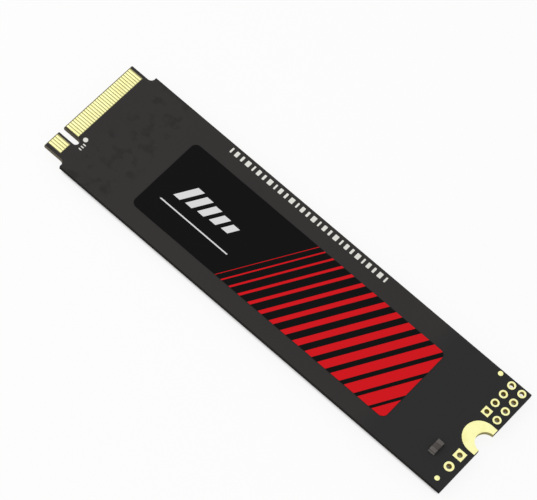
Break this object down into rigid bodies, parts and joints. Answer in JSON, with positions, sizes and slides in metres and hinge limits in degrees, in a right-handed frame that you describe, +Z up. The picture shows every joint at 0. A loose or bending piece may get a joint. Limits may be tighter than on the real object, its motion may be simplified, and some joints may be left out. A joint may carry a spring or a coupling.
{
  "type": "m.2 solid state drive card",
  "caption": "Slim M.2 solid state drive card with a keyed edge connector at one end, a screw notch at the other, a label on one face and memory packages under the other.",
  "frame": {"origin": "on the surface that the card rests on, under the middle of the board", "axes": "+X from the edge contacts to the screw notch, +Y across the board away from the key notch, +Z up through the label"},
  "size_m": [0.08, 0.022, 0.0024],
  "materials": {
    "solder_mask": "satin dark grey solder mask over fibreglass",
    "contact_gold": "bright gold plating",
    "label_film": "black film with printed red bars",
    "package_mould": "matt black mould compound",
    "solder": "reflowed solder",
    "terminal_tin": "matt tin plating",
    "capacitor_ceramic": "tan ceramic",
    "resistor_glaze": "black glaze",
    "end_chip_mould": "grey-brown mould compound",
    "inductor_ferrite": "pressed dark grey powder",
    "crystal_ceramic": "dark ceramic",
    "crystal_lid": "plated metal lid",
    "board_ink": "white printed ink"
  },
  "bodies": {
    "root": {"circuit_board": "solder_mask", "label_side_contacts": "contact_gold", "chip_side_contacts": "contact_gold", "label_side_screw_pad": "contact_gold", "chip_side_screw_pad": "contact_gold", "service_header_eyelets": "contact_gold", "jumper_eyelets": "contact_gold", "alignment_dots": "contact_gold", "end_chip_lands": "contact_gold", "crystal_lands": "contact_gold", "label": "label_film", "controller": "package_mould", "power_manager": "package_mould", "flash_1": "package_mould", "flash_2": "package_mould", "flash_3": "package_mould", "flash_4": "package_mould", "controller_balls": "solder", "flash_1_balls": "solder", "flash_2_balls": "solder", "flash_3_balls": "solder", "flash_4_balls": "solder", "power_manager_leads": "terminal_tin", "inductor_terminals": "terminal_tin", "capacitor_terminals": "terminal_tin", "bulk_capacitor_terminals": "terminal_tin", "resistor_terminals": "terminal_tin", "end_chip_terminals": "terminal_tin", "capacitor_bodies": "capacitor_ceramic", "bulk_capacitor_bodies": "capacitor_ceramic", "resistor_bodies": "resistor_glaze", "end_chip_bodies": "end_chip_mould", "inductor_1": "inductor_ferrite", "inductor_2": "inductor_ferrite", "inductor_3": "inductor_ferrite", "crystal_base": "crystal_ceramic", "crystal_lid": "crystal_lid"}
  },
  "joints": []
}
